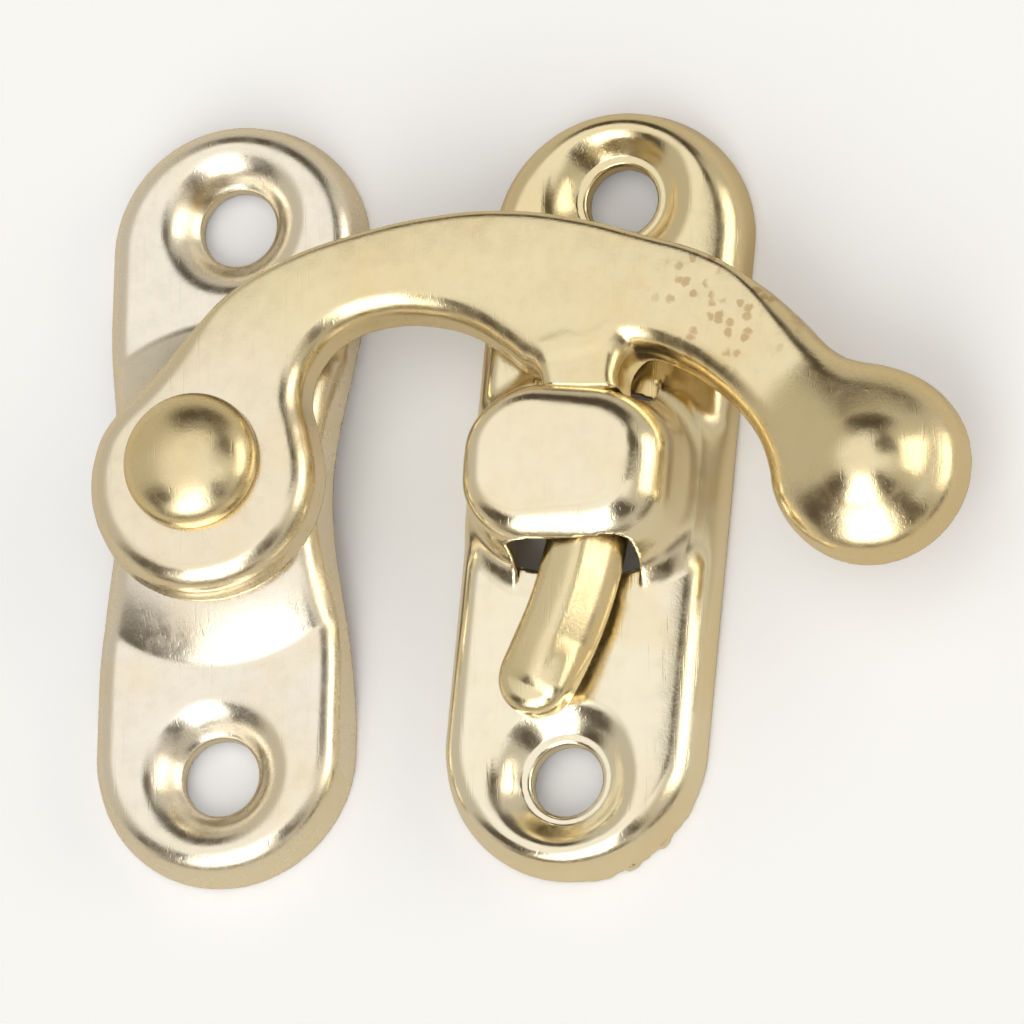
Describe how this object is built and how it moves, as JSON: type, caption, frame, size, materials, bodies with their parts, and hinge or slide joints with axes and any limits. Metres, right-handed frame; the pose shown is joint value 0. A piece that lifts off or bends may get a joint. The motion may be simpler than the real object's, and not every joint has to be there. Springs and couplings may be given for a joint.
{
  "type": "swing hook latch",
  "caption": "Pressed brass-plated swing hook latch: a riveted hook with a finger ball drops its curved tongue through a hooded keeper plate.",
  "frame": {"origin": "under the middle of the latched latch, on the plane that the plates' rims rest on", "axes": "+Z out of the plates' faces, +X from the hinge plate to the finger ball, +Y along the plates towards the hook's arched arm"},
  "size_m": [0.0334, 0.0292, 0.0065],
  "materials": {
    "hinge_plate_brass": "pale champagne brass plating, bright with a fine satin haze",
    "keeper_plate_brass": "pale champagne brass plating, bright",
    "hook_brass": "pale champagne brass plating, bright with small tarnish spots",
    "rivet_brass": "pale champagne brass plating, rubbed"
  },
  "bodies": {
    "hinge": {"hinge_plate": "hinge_plate_brass", "pivot_rivet": "rivet_brass"},
    "hook": {"swing_hook": "hook_brass"},
    "keeper": {"keeper_plate": "keeper_plate_brass"}
  },
  "joints": [
    {"name": "hook_swing", "type": "hinge", "parent": "hinge", "child": "hook", "pos_m": [-0.01175, 0.0008, 0.004], "axis": [0, 0, 1], "range_deg": [0, 255]},
    {"name": "keeper_release", "type": "slide", "parent": "hinge", "child": "keeper", "axis": [-0.1219, -0.9925, 0], "range_m": [0, 0.012]}
  ]
}
